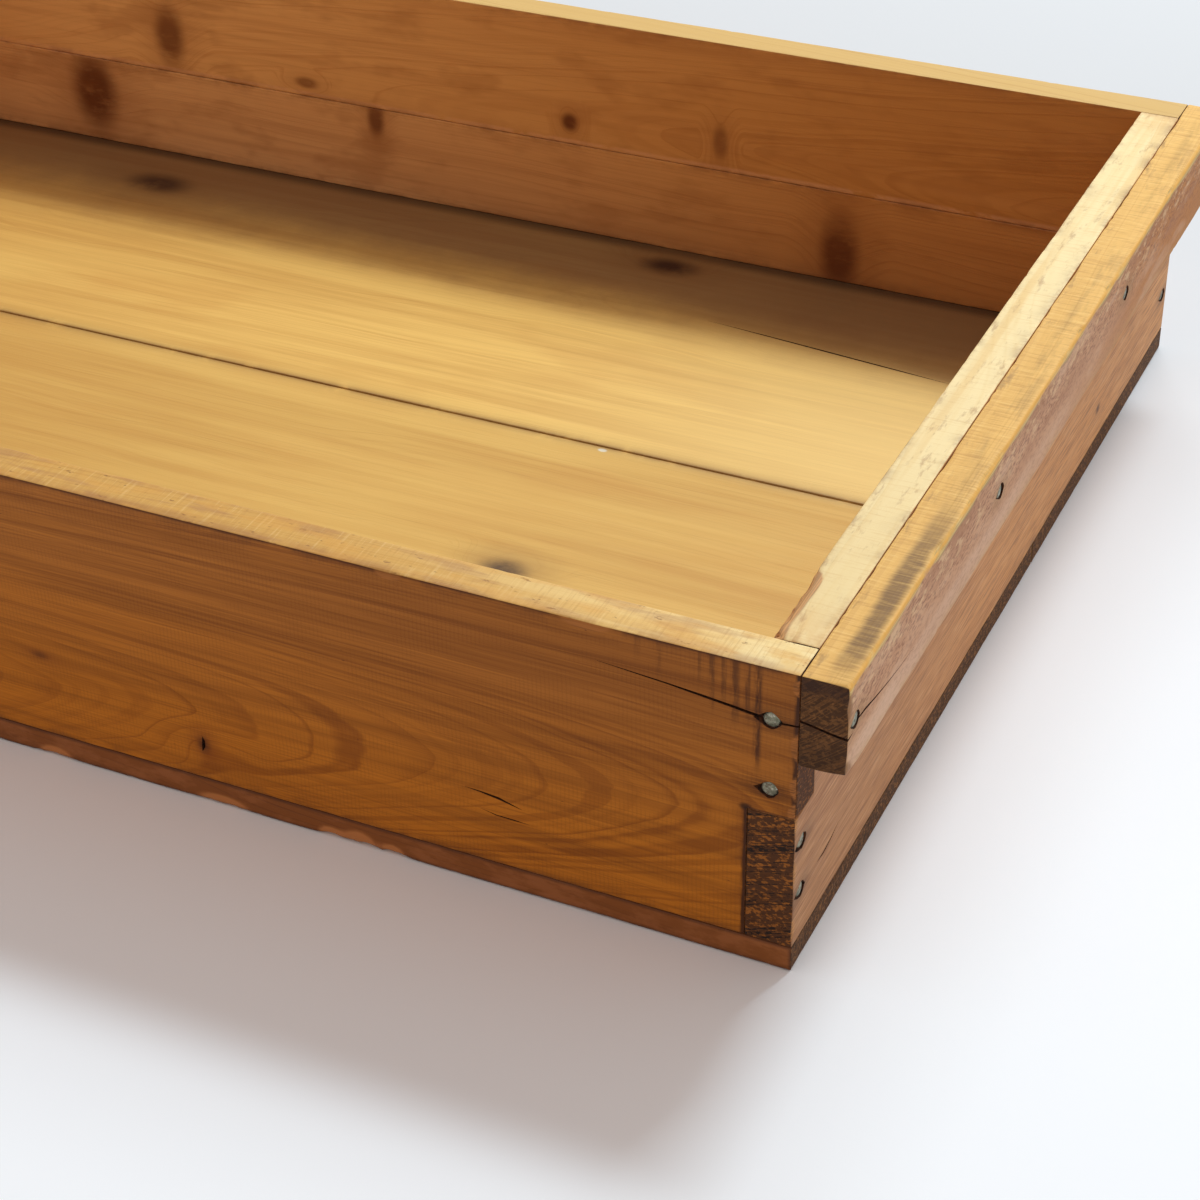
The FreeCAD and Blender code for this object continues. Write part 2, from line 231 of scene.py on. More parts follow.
class Wood(Finish):
    """A sawn board: growth rings, fibres, knots and end grain, laid over each other as colours."""

    def __init__(self, name, cut):
        super().__init__(name)
        self.cut = cut
        self.spot_at = self.place()
        self.xyz = self.parts(self.spot_at)
        across = [c for axis, c in enumerate(self.xyz) if axis != cut.along]
        self.grain = self.joined(self.xyz[cut.along], *across)
        self.normal = self.facing()
        self.end = self.normal[cut.along].abs().rise(0.55, 0.85)
        self.top = self.normal[2].rise(0.6, 0.8) * self.xyz[2].rise(85.0, 89.0)
        self.fibre = self.noise(self.grain, (34.0, 0.45, 0.45), 3.0, 0.6)
        self.streak = self.noise(self.grain, (150.0, 4.2, 4.2), 3.0, 0.55)
        self.broad = self.noise(self.grain, (190.0, 20.0, 20.0), 2.0, 0.5)
        self.grit = self.noise(self.spot_at, 0.85, 3.0, 0.65)
        self.grime_and_shading_noise = self.noise(self.spot_at, (13.0, 13.0, 6.0), 4.0, 0.65)
        self.find_rings()
        self.colour = None

    def find_rings(self):
        """Finds the distance from the pith, then the place in the year's ring, dark at its end."""
        cut = self.cut
        along, first, second = self.parts(self.grain)
        drift = self.noise(self.grain, (170.0, 42.0, 42.0), 2.0, 0.45, output=1)
        drifts = self.parts(self.vector("SUBTRACT", drift, (0.5, 0.5, 0.5)))
        first = first - (along * cut.lean[0] + cut.pith[0]) + drifts[0] * (2 * cut.wander)
        second = second - (along * cut.lean[1] + cut.pith[1]) + drifts[1] * (2 * cut.wander)
        reach = (first * first + second * second).math("SQRT")
        for centre, size, push in cut.knots:
            reach = reach + self.spot(self.spot_at, centre, size) * push
        uneven = self.node("ShaderNodeTexNoise", {"noise_dimensions": "1D"}, {"W": reach / 9.0})
        ring = reach / cut.ring + uneven * 3.0 + self.streak * 0.5
        phase = ring.math("FRACT")
        self.early = phase.rise(0.05, 0.5, 1.0, 0.0)
        late = phase.rise(0.45, 0.88) * phase.rise(0.91, 1.0, 1.0, 0.0)
        weight = self.node("ShaderNodeTexNoise", {"noise_dimensions": "1D"}, {"W": ring * 0.31})
        self.late = late * weight.rise(0.32, 0.7, 0.25, 1.0)

    def patches(self, size, detail, rough):
        """Noise over the whole board, without regard to its grain."""
        return self.noise(self.spot_at, size, detail, rough)

    def grained(self, share, light, dark):
        """A light tone with a share of a dark one in the late wood."""
        return self.mix(self.late * share, light, dark)

    def lay(self, share, colour):
        """Lays a colour over what is there."""
        self.colour = self.mix(share, self.colour, colour)

    def lay_knots(self, hearts, heart_colour, halo_colour, core=0.0):
        """Dark hearts where branches came through, each in a patch of redder wood."""
        for centre, size, strength in hearts:
            halo = self.spot(self.spot_at, centre, tuple(2.3 * s for s in size))
            heart = self.spot(self.spot_at, centre, size, core)
            self.lay(halo * (0.5 * strength), halo_colour)
            self.lay(heart * self.grime_and_shading_noise.rise(0.3, 0.55, 0.6, 1.0) * strength, heart_colour)

    def lay_end_grain(self, middle, dark, light, rings=0.6, pores=0.9, rows=0.24):
        """Sawn ends: dark pores in the early wood, golden flecks, and the rings seen end on."""
        sawn = self.mix((1.0 - self.early) * rings, middle, dark)
        fleck = self.noise(self.spot_at, (1.6, 1.6, 1.0), 3.0, 0.6).rise(0.5, 0.62)
        sawn = self.mix(fleck * (1.0 - self.early) * pores, sawn, light)
        pit = self.noise(self.spot_at, (1.7, 1.7, 1.1), 3.0, 0.65)
        pore = (pit + self.early * rows).rise(0.4 + rows, 0.46 + rows)
        sawn = self.mix(pore * pores, sawn, darkened(dark, 0.3))
        self.lay(self.end, sawn)

    def lay_age(self, dirt, torn, patchy=0.35):
        """Dirt in the arrises and round the nails, and bare wood in the chips."""
        edge = self.attribute("arris") * self.grime_and_shading_noise.rise(patchy, patchy + 0.3)
        self.lay(edge * 0.75, dirt)
        self.lay(self.attribute("nail") * self.fibre.rise(0.2, 0.6) * 0.8, darkened(dirt, 0.55))
        bared = self.mix(self.fibre.rise(0.35, 0.65), torn, darkened(torn, 0.5))
        self.lay(self.attribute("torn").rise(0.22, 0.45) * 0.9, bared)

    def varnished(self, roughness, specular, ripple=0.0):
        """Closes the material: raised late wood and fibres, rough ends, and its gloss."""
        height = self.late * 0.03 + self.fibre * 0.05 + self.streak * 0.05
        height = height + self.grit * (self.end * 0.45 + 0.02)
        if ripple:
            height = height + self.ripples() * ripple
        rough = self.streak * 0.18 + self.end * 0.25 + roughness
        return self.done(
            Base_Color=self.colour,
            Roughness=rough,
            Normal=self.bump(height),
            Specular_IOR_Level=specular,
        )

    def ripples(self):
        """The marks of the plane or the saw, across the grain."""
        phase = self.xyz[self.cut.along] * (2 * math.pi / RIPPLE_PITCH) + self.streak * 5.0
        return phase.math("SINE") * self.grime_and_shading_noise.rise(0.35, 0.6)


# The front and its knots, as (place, reach, push of the rings)

FRONT_KNOTS = [
    ((89.9, -175, 18.9), (24, 16, 11), 2.4),
    ((39.9, -175, 33.9), (26, 16, 9), 0.9),
    ((-60, -175, 60), (30, 16, 14), 1.2),
    ((-148, -175, 35), (26, 16, 12), 2.4),
]
FRONT_CUT = Cut(0, (-205, 19), (-0.085, 0.1), 1.4, 3.2, FRONT_KNOTS)
FRONT_HEARTS = [
    ((89.9, -175, 18.9), (3.2, 6, 4.2), 1),
    ((39.9, -175, 33.9), (4.5, 6, 2), 0.55),
    ((-148, -175, 35), (5.5, 6, 4), 0.85),
]
FRONT_DRIPS = [
    # x, width, foot, strength
    (247.2, 1.3, 57, 0.8),
    (244.6, 0.9, 70, 0.6),
    (241.4, 1.5, 69, 0.65),
    (238.6, 0.9, 74, 0.5),
    (235.6, 1, 71, 0.55),
    (232.4, 0.7, 78, 0.35),
    (222, 1, 77, 0.3),
    (216.5, 1.2, 80, 0.25),
]


def front_wood():
    """Orange varnish on the front, browner towards the top, and pale worn wood on the top edge."""
    wood = Wood("varnished_front_wood", FRONT_CUT)
    x, y, z = wood.xyz
    inner = wood.normal[1].rise(0.3, 0.8)
    outer = (0 - wood.normal[1]).rise(0.5, 0.8)

    ringed = x.rise(0, 150, 0.3, 0.75)
    low_tone = wood.grained(ringed, (196, 116, 26), (142, 74, 10))
    high_tone = wood.grained(0.5, (180, 110, 42), (124, 66, 20))
    height = (z + wood.broad * 40).rise(30, 104)
    wood.colour = wood.mix(height, low_tone, high_tone)
    wood.lay(wood.streak.rise(0.4, 0.72) * 0.4, (124, 68, 20))
    wood.lay(wood.broad.rise(0.5, 0.75) * 0.3, (206, 128, 36))
    shaded = x.rise(90, 210) * z.rise(34, 52) * wood.streak.rise(0.3, 0.6, 0.14, 0.34)
    wood.lay(shaded, (110, 58, 18))
    wood.lay(wood.fibre.rise(0.42, 0.72) * 0.34, (112, 58, 14))
    wood.lay(wood.fibre.rise(0.42, 0.25) * 0.22, (218, 140, 48))
    wood.lay(wood.ripples().rise(0, 1) * 0.15, (104, 56, 18))
    pit = wood.patches((2.4, 1, 1), 2, 0.5).rise(0.74, 0.78)
    wood.lay(pit * 0.6, (70, 32, 14))
    wood.lay_knots(FRONT_HEARTS, (66, 30, 16), (122, 58, 22))

    ragged = wood.patches((1, 4, 7), 3, 0.6)
    for place, width, foot, strength in FRONT_DRIPS:
        across = ((x + ragged) - (place + 0.5)).abs().rise(width * 0.3, width, 1, 0)
        run = z.rise(foot, foot + 9)
        wood.lay(across * run * ragged.rise(0.25, 0.6) * strength, (58, 28, 16))
    blot = wood.spot(wood.spot_at, (244.6, -175, 47.8), (2.4, 3, 1.7), 0.3)
    wood.lay(blot * 0.85, (40, 20, 12))
    reach = x.abs() + ragged * 1.4
    lap_joint = reach.rise(256.6, 257.6) * z.rise(46, 48)
    finger_joint = reach.rise(244.3, 245.1) * z.rise(48.4, 47.4)
    wood.lay((lap_joint + finger_joint) * outer * 0.9, (40, 20, 12))
    lip = wood.attribute("arris").rise(0.5, 0.9) * outer * z.rise(80, 86)
    wood.lay(lip * wood.grime_and_shading_noise.rise(0.25, 0.5) * 0.85, (66, 34, 18))

    worn_left = wood.grained(0.4, (214, 162, 84), (186, 130, 60))
    worn_right = wood.mix(wood.streak.rise(0.4, 0.65) * 0.7, (246, 209, 138), (226, 176, 97))
    pale = wood.mix((x + wood.broad * 100).rise(170, 290), worn_left, worn_right)
    # Painted highlight: the top edge lighter at its right end, by the corner, for the sheen of the
    # windows on it.
    pale = wood.mix(x.rise(225, 250) * wood.grime_and_shading_noise.rise(0.3, 0.6), pale, (250, 222, 162))
    saw = wood.patches((0.6, 12, 12), 2, 0.6)
    speck = wood.patches((5, 2.2, 3), 3, 0.7).rise(0.62, 0.7)
    cloud = wood.patches((26, 6, 9), 3, 0.6).rise(0.5, 0.66)
    rubbed = y.rise(-174.2, -170.5, 1, 0) * wood.grime_and_shading_noise.rise(0.3, 0.6)
    gold = wood.patches((18, 5, 9), 2, 0.5).rise(0.48, 0.62)
    pale = wood.layered(pale, [
        (saw.rise(0.5, 0.72) * 0.28, (184, 130, 68)),
        (saw.rise(0.46, 0.3) * 0.28, (244, 208, 142)),
        (speck * 0.7, (128, 80, 42)),
        (cloud * 0.5, (178, 126, 80)),
        (rubbed * 0.55, (160, 104, 58)),
        (gold * 0.35, (222, 160, 76)),
    ])
    inside = wood.grained(0.4, (200, 134, 72), (164, 98, 44))
    wood.lay(inner, inside)
    wood.lay_age((80, 42, 22), (176, 108, 50))
    wood.lay(wood.top, pale)
    wood.lay_end_grain((102, 60, 28), (60, 34, 18), (176, 108, 44), 0.6, 0.5)
    return wood.varnished(0.42, 0.16, 0.006)


def wall_wood(name, cut, hearts):
    """The back wall's boards: warm brown inside, darker outside, pale on the top edge."""
    wood = Wood(name, cut)
    x, y, z = wood.xyz
    left = wood.grained(0.4, (226, 170, 106), (196, 133, 74))
    right = wood.grained(0.4, (188, 126, 64), (154, 92, 40))
    wood.colour = wood.mix((x + wood.broad * 120).rise(-120, 260), left, right)
    wood.lay(z.rise(44, 40) * x.rise(150, -60, 0.05, 0.2), (206, 160, 128))
    wood.lay(wood.streak.rise(0.4, 0.75) * 0.3, (160, 100, 52))
    wood.lay(wood.broad.rise(0.5, 0.75) * 0.3, (216, 156, 94))
    wood.lay(wood.fibre.rise(0.5, 0.8) * 0.18, (138, 84, 42))
    wood.lay_knots(hearts, (104, 54, 24), (140, 80, 38), 0.3)
    blotch = wood.patches((34, 20, 14), 3, 0.6)
    wood.lay(blotch.rise(0.5, 0.68) * 0.3, (146, 88, 42))
    # Painted highlight: a light line along the top of the lower board, which stands a little proud
    # and catches the light.
    lip = (z + wood.streak * 5 - 2.5).rise(41.5, 42.6) * z.rise(44.5, 43.2)
    wood.lay(lip * wood.grime_and_shading_noise.rise(0.3, 0.5) * 0.55, (226, 168, 124))
    outside = wood.normal[1].rise(0.3, 0.8)
    wood.lay(outside * 0.6, wood.grained(0.5, (178, 106, 46), (132, 70, 24)))
    wood.lay_age((136, 84, 48), (212, 150, 98))
    pale = wood.grained(0.35, (212, 170, 100), (186, 136, 70))
    wood.lay(wood.top, pale)
    wood.lay_end_grain((108, 66, 32), (66, 38, 20), (176, 112, 50), 0.6, 0.5)
    return wood.varnished(0.5, 0.2)


END_SPOTS = [
    # middle, reach, strength
    ((257.5, 92, 19), (5, 3.4, 2.6), 0.9),
    ((257.5, 24, 8), (5, 6, 3), 0.6),
    ((257.5, -60, 40), (5, 22, 5), 0.3),
]


def end_wood(name, cut):
    """The bare pinkish end walls, pale on the top edge, brown and porous at the finger ends."""
    wood = Wood(name, cut)
    near = wood.grained(0.35, (189, 134, 85), (162, 106, 62))
    far = wood.grained(0.35, (217, 153, 90), (186, 124, 68))
    wood.colour = wood.mix((wood.xyz[1] + wood.broad * 40).rise(-140, 20), near, far)
    wood.lay(wood.streak.rise(0.4, 0.75) * 0.35, (176, 120, 82))
    wood.lay(wood.fibre.rise(0.44, 0.7) * 0.5, (134, 84, 52))
    ray = wood.noise(wood.grain, (11, 0.7, 0.7), 2, 0.5)
    wood.lay(ray.rise(0.52, 0.68) * 0.45, (132, 80, 46))
    wood.lay(ray.rise(0.45, 0.3) * 0.4, (226, 176, 130))
    for centre, size, strength in END_SPOTS:
        wood.lay(wood.spot(wood.spot_at, centre, size) * strength, (84, 52, 38))
    pale = wood.grained(0.3, (244, 216, 158), (226, 184, 112))
    cross = wood.patches((9, 0.6, 4), 3, 0.6)
    smudge = wood.patches((3.4, 13, 3), 4, 0.7).rise(0.54, 0.72)
    handled = wood.xyz[1].abs().rise(138, 172) * wood.grime_and_shading_noise.rise(0.36, 0.6)
    pale = wood.layered(pale, [
        (wood.streak.rise(0.42, 0.66) * 0.5, (230, 184, 110)),
        (cross.rise(0.5, 0.72) * 0.3, (206, 156, 90)),
        (wood.broad.rise(0.4, 0.7) * 0.4, (226, 190, 122)),
        (smudge * 0.55, (168, 122, 78)),
        (handled * 0.6, (226, 170, 96)),
    ])
    wood.lay(wood.top, pale)
    wood.lay_age((120, 76, 46), (214, 150, 88), 0.42)
    wood.lay_end_grain((92, 52, 20), (52, 27, 11), (158, 94, 33), 0.35, 0.95, 0.36)
    return wood.varnished(0.5, 0.3)


def batten_wood(name, cut):
    """Rough sawn battens: pinkish outside, golden and stained on top, grey brown at the ends."""
    wood = Wood(name, cut)
    x, y, z = wood.xyz
    near = wood.grained(0.3, (200, 150, 112), (177, 124, 85))
    far = wood.grained(0.3, (186, 121, 60), (162, 96, 42))
    wood.colour = wood.mix((y + wood.broad * 80).rise(40, 150), near, far)
    wood.lay(z.rise(74, 69) * y.rise(20, -70) * 0.35, (232, 198, 172))
    rough = z.rise(71, 79)
    dash = wood.noise(wood.grain, (2.4, 0.8, 0.8), 3, 0.6)
    wood.lay(dash.rise(0.46, 0.64) * (rough * 0.5 + 0.25), (132, 78, 48))
    patch = wood.noise(wood.grain, (40, 9, 9), 3, 0.6)
    wood.lay(patch.rise(0.45, 0.7) * (rough * 0.5 + 0.2), (168, 114, 78))
    wood.lay(patch.rise(0.5, 0.3) * 0.4, (220, 182, 152))
    chalk = wood.patches((3, 7, 2.8), 4, 0.7).rise(0.52, 0.62)
    wood.lay(chalk * z.rise(74, 84) * 0.7, (222, 184, 140))
    wood.lay_age((196, 150, 92), (238, 202, 130), 0.3)
    below = wood.attribute("torn").rise(0.1, 0.4) * z.rise(88.5, 86.5)
    wood.lay(below * 0.9, (150, 104, 70))

    pale = wood.grained(0.4, (232, 180, 98), (198, 142, 66))
    cross = wood.patches((9, 0.7, 4), 3, 0.6)
    edge = x.abs() + wood.grime_and_shading_noise * 3 - 1.5
    band = edge.rise(261.8, 264.3) * edge.rise(266.8, 269.4, 1, 0)
    near_end = y.rise(-178, -156) * (y + wood.grime_and_shading_noise * 16).rise(-116, -66, 1, 0)
    wear = wood.patches((5, 30, 9), 4, 0.65).rise(0.42, 0.62) * 0.35
    stain = band * near_end.math("MAXIMUM", wear) * cross.rise(0.25, 0.6, 0.6, 1)
    mottle = wood.patches((4, 16, 9), 4, 0.7).rise(0.53, 0.68)
    pale = wood.layered(pale, [
        (cross.rise(0.48, 0.7) * 0.4, (176, 120, 56)),
        (cross.rise(0.44, 0.3) * 0.4, (250, 208, 130)),
        (stain * 0.9, (122, 88, 50)),
        (mottle * edge.rise(264, 257) * 0.6, (134, 98, 62)),
    ])
    wood.lay(wood.top, pale)
    rim = (x.abs() + cross * 1.2).rise(269, 269.8) * z.rise(88.2, 89.2)
    wood.lay(rim * wood.grime_and_shading_noise.rise(0.25, 0.5), (228, 170, 84))
    wood.lay_end_grain((128, 84, 46), (50, 30, 17), (150, 100, 54), 0.8, 0.4)
    wood.lay(wood.end * z.rise(76, 66) * 0.35, (44, 27, 16))
    wood.lay(wood.end * z.rise(84, 87.5) * 0.6, (54, 34, 28))
    return wood.varnished(0.55, 0.25, 0.012)


def floor_wood(name, cut, hearts):
    """Golden floor boards inside, varnished at the front edge, brown at the sawn ends."""
    wood = Wood(name, cut)
    x, y, z = wood.xyz
    front_tone = wood.grained(0.3, (216, 168, 86), (188, 134, 56))
    rear_tone = wood.grained(0.3, (236, 188, 101), (206, 152, 69))
    wood.colour = wood.mix(y.rise(20, 30), front_tone, rear_tone)
    wood.lay(x.rise(60, -200) * 0.45, (194, 134, 58))
    wood.lay(wood.streak.rise(0.35, 0.7) * 0.42, (192, 136, 60))
    cloud = wood.patches((70, 24, 20), 3, 0.55)
    wood.lay(cloud.rise(0.5, 0.68) * 0.3, (204, 146, 68))
    wood.lay(wood.broad.rise(0.45, 0.7) * 0.55, (232, 186, 100))
    wood.lay(wood.fibre.rise(0.48, 0.78) * 0.22, (168, 112, 46))
    # Painted light: the rear board lighter towards the right, where more of the windows' light
    # falls.
    sunny = x.rise(40, 240) * y.rise(20, 30) * 0.5
    wood.lay(sunny, (248, 214, 140))
    # Painted shadow: the back wall's shadow on the floor, a dark band along the wall whose edge the
    # noise breaks up.
    far = (y + wood.grime_and_shading_noise * 14 - wood.broad * 16).rise(92, 138)
    wood.lay(far * 0.72, (103, 70, 56))
    # Painted shadow: the back wall's shadow reaches further, up to the split, towards the right.
    shadow_beyond_split = (y + x * 0.104).rise(127.7, 131) * x.rise(60, 150)
    wood.lay(shadow_beyond_split * 0.4, (124, 78, 44))
    # Painted shade: very dark in the corner at the foot of the back wall.
    wood.lay(y.rise(155, 162) * 0.7, (58, 36, 22))
    wood.lay_knots(hearts, (60, 34, 20), (124, 80, 42), 0.15)
    fleck = wood.spot(wood.spot_at, (115, 23, 7.5), (2, 1.2, 3), 0.5)
    wood.lay(fleck, (240, 228, 200))
    # Painted shade: darker along the foot of the front and end walls.
    wall = x.abs().rise(239, 244.5) + y.rise(-158, -162.5)
    wood.lay(wall.math("MINIMUM", 1) * 0.5, (110, 72, 40))
    wood.lay_age((104, 62, 30), (190, 116, 56), 0.2)
    bare = wood.grained(0.4, (178, 142, 100), (140, 104, 66))
    wood.lay((0 - wood.normal[2]).rise(0.6, 0.9), bare)
    varnish = wood.grained(0.5, (136, 76, 27), (106, 55, 15))
    varnish = wood.mix(wood.grime_and_shading_noise.rise(0.45, 0.65) * 0.6, varnish, (166, 100, 54))
    varnish = wood.mix(wood.attribute("torn").rise(0.1, 0.4), varnish, (188, 118, 62))
    varnish = wood.mix(wood.attribute("arris").rise(0.4, 0.9) * 0.7, varnish, (70, 36, 18))
    wood.lay(y.abs().rise(173.2, 174.2), varnish)
    wood.lay_end_grain((122, 80, 44), (62, 38, 22), (160, 108, 58), 0.75, 0.7)
    return wood.varnished(0.45, 0.25)


def torn_wood():
    """The inside of cracks, nail dents and checks: stained wood, made darker as painted shade in
    the hollows.
    """
    finish = Finish("torn_wood")
    rough = finish.noise(finish.place(), 0.9, 3.0, 0.6)
    # Near black: stain in the torn wood, and painted shade deep in the hollows.
    colour = finish.mix(rough.rise(0.35, 0.7), (30, 16, 10), (88, 48, 24))
    return finish.done(
        Base_Color=colour, Roughness=0.85, Normal=finish.bump(rough * 0.3), Specular_IOR_Level=0.2
    )


def nail_steel():
    """Tarnished grey-green heads with rust at the rim, and bright worn spots that also serve as
    painted highlights.
    """
    finish = Finish("nail_steel")
    place = finish.place()
    patina = finish.noise(place, 1.6, 3.0, 0.6)
    rust = finish.noise(place, 0.8, 3.0, 0.65).rise(0.5, 0.64)
    # Bright worn steel, made bright enough to serve also as painted highlights on the heads.
    worn = finish.noise(place, 1.1, 2.0, 0.5).rise(0.56, 0.7)
    colour = finish.mix(patina.rise(0.35, 0.65), (104, 104, 84), (160, 158, 136))
    colour = finish.mix(worn * 0.7, colour, (216, 212, 194))
    colour = finish.mix(rust * 0.75, colour, (80, 50, 32))
    metal = 0.7 - rust * 0.6
    rough = 0.38 + rust * 0.4 + patina * 0.12
    return finish.done(
        Base_Color=colour, Metallic=metal, Roughness=rough, Normal=finish.bump(patina * 0.3)
    )


# Board shapes


def smooth_noise(points, size, seed):
    """Smooth noise from -1 to 1 on a lattice of random values, size millimetres apart."""
    count = 37
    lattice = np.random.default_rng(seed).uniform(-1, 1, (count, count, count))
    place = points / size
    cell = np.floor(place).astype(int)
    part = place - cell
    part = part * part * (3 - 2 * part)
    total = np.zeros(len(points))
    for corner in product((0, 1), repeat=3):
        weight = np.prod(np.where(corner, part, 1 - part), axis=1)
        near = (cell + corner) % count
        total += weight * lattice[near[:, 0], near[:, 1], near[:, 2]]
    return total


def node_box(node):
    """A CAD node's lowest and highest corner in millimetres."""
    low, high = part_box(node)
    return np.round(np.array(low) / MM, 3), np.round(np.array(high) / MM, 3)


def whole_board(node):
    return [node_box(node)]


def stepped_board(node, axis, cut, upper):
    """A board whose ends are cut back by cut, except above FINGER_TOP, or below it."""
    low, high = node_box(node)
    body = (low.copy(), high.copy())
    body[0][axis] += cut
    body[1][axis] -= cut
    tongue = (low.copy(), high.copy())
    tongue[0 if upper else 1][2] = FINGER_TOP
    return [body, tongue]


def grid_lines(stops, step):
    """Lines across one axis: dense beside each stop, where an arris is, and evenly between."""
    lines = set()
    for low, high in zip(stops, stops[1:]):
        half = (high - low) / 2
        near = [s for s in ARRIS_STEPS if s < half - 0.3]
        start = low + near[-1] if near else low
        end = high - near[-1] if near else high
        count = max(1, round((end - start) / step))
        lines.update([low, high])
        lines.update(low + s for s in near)
        lines.update(high - s for s in near)
        lines.update(start + (end - start) * i / count for i in range(count + 1))
    ordered = np.array(sorted(lines))
    keep = np.append(True, np.diff(ordered) > 1e-6)
    return ordered[keep]


def board_skin(boxes):
    """The outside of a union of boxes as grid points and quads that face outwards."""
    lines = []
    for axis in range(3):
        stops = sorted({float(corner[axis]) for box in boxes for corner in box})
        lines.append(grid_lines(stops, GRID_STEP))
    middles = np.meshgrid(*[(a[1:] + a[:-1]) / 2 for a in lines], indexing="ij")
    filled = np.zeros(middles[0].shape, bool)
    for low, high in boxes:
        inside = [(m > low[a]) & (m < high[a]) for a, m in enumerate(middles)]
        filled |= inside[0] & inside[1] & inside[2]
    padded = np.pad(filled, 1)
    counts = [len(a) for a in lines]
    quads = []
    for axis, side in product(range(3), (0, 1)):
        beside = np.roll(padded, 1 if side == 0 else -1, axis)[1:-1, 1:-1, 1:-1]
        cells = np.stack(np.nonzero(filled & ~beside), axis=1)
        cells[:, axis] += side
        second, third = (axis + 1) % 3, (axis + 2) % 3
        corners = [(0, 0), (1, 0), (1, 1), (0, 1)]
        if side == 0:
            corners.reverse()
        ring = []
        for across, up in corners:
            corner = cells.copy()
            corner[:, second] += across
            corner[:, third] += up
            ring.append(np.ravel_multi_index(corner.T, counts))
        quads.append(np.stack(ring, axis=1))
    quads = np.concatenate(quads)
    used, quads = np.unique(quads, return_inverse=True)
    place = np.unravel_index(used, counts)
    points = np.stack([lines[axis][place[axis]] for axis in range(3)], axis=1)
    return points, quads.reshape(-1, 4)


def board_limits(points, boxes):
    """How far the board reaches on each axis, from each point's own boxes."""
    low = np.full(points.shape, np.inf)
    high = np.full(points.shape, -np.inf)
    for box_low, box_high in boxes:
        inside = np.all((points >= box_low - 0.01) & (points <= box_high + 0.01), axis=1)
        low[inside] = np.minimum(low[inside], box_low)
        high[inside] = np.maximum(high[inside], box_high)
    return low, high


def chip_strength(points, chips):
    """How much each chip reaches each point, one row for each chip."""
    rows = [np.zeros(len(points))]
    for centre, size, _ in chips:
        gap = (points - np.array(centre)) / np.array(size)
        rows.append(np.exp(-np.sum(gap * gap, axis=1)))
    return rows


def worn(points, boxes, wear, chips, seed):
    """Rounds the arrises unevenly, chips them and lets the faces wave, always inwards."""
    radius = 0.4 + 0.15 * smooth_noise(points, 24.0, seed)
    radius += wear * 0.25 * np.clip(smooth_noise(points, 9.0, seed + 1), 0, 1)
    radius += wear * 1.5 * np.clip(smooth_noise(points, 3.1, seed + 2) - 0.5, 0, 1)
    ragged = 0.75 + 0.45 * smooth_noise(points, 1.9, seed + 3)
    for (_, _, depth), strength in zip(chips, chip_strength(points, chips)[1:]):
        radius += depth * strength * ragged
    low, high = board_limits(points, boxes)
    thin = np.min(high - low, axis=1)
    radius = np.clip(radius, 0.2, thin * 0.45)[:, None]
    core = np.clip(points, low + radius, high - radius)
    away = points - core
    reach = np.linalg.norm(away, axis=1)[:, None]
    outward = away / np.maximum(reach, 1e-9)
    wave = 0.06 + 0.03 * smooth_noise(points, 31.0, seed + 4)
    wave += 0.02 * smooth_noise(points, 7.0, seed + 5)
    inset = radius - np.clip(wave, 0.01, 0.2)[:, None]
    return np.where(reach > 1e-6, core + outward * inset, points)


def on_face(face, across, up, depth):
    """A point at a depth under a face. Across and up follow the two other axes in order."""
    axis, level, outward = face
    point = [across, up]
    point.insert(axis, level - outward * depth)
    return point


def add_rings(mesh, rings):
    """Joins rings of points into a closed body."""
    rows = [[mesh.verts.new(Vector(p) * MM) for p in ring] for ring in rings]
    for first, second in zip(rows, rows[1:]):
        for i in range(len(first)):
            j = (i + 1) % len(first)
            mesh.faces.new((first[i], first[j], second[j], second[i]))
    mesh.faces.new(list(reversed(rows[0])))
    mesh.faces.new(rows[-1])


DENT_STATIONS = (-1.0, -0.78, -0.5, -0.22, 0.0, 0.22, 0.5, 0.78)
# Each ring of a dent: its depth, and its share of the full width
DENT_RINGS = ((-0.5, 1.0), (0.05, 1.0), (1.35, 0.8))


def add_dent(mesh, face, across, up, upright, random):
    """The torn eye-shaped dent round a nail head, long along the grain."""
    tail = random.uniform(3.8, 5.2)
    nose = random.uniform(2.5, 3.0)
    width = random.uniform(2.35, 2.6)
    stations = list(DENT_STATIONS) + [-s for s in DENT_STATIONS]
    outline = []
    for i, s in enumerate(stations):
        side = 1 if i < len(DENT_STATIONS) else -1
        swell = (1 - abs(s) ** (1.25 if s < 0 else 1.9)) * width * side
        run = s * (tail if s < 0 else nose)
        outline.append((run + random.uniform(-0.2, 0.2), swell + random.uniform(-0.12, 0.12)))
    rings = []
    for depth, scale in DENT_RINGS:
        ring = []
        for s, w in outline:
            shift = (w, s) if upright else (s, w)
            ring.append(on_face(face, across + shift[0] * scale, up + shift[1] * scale, depth))
        rings.append(ring)
    add_rings(mesh, rings)


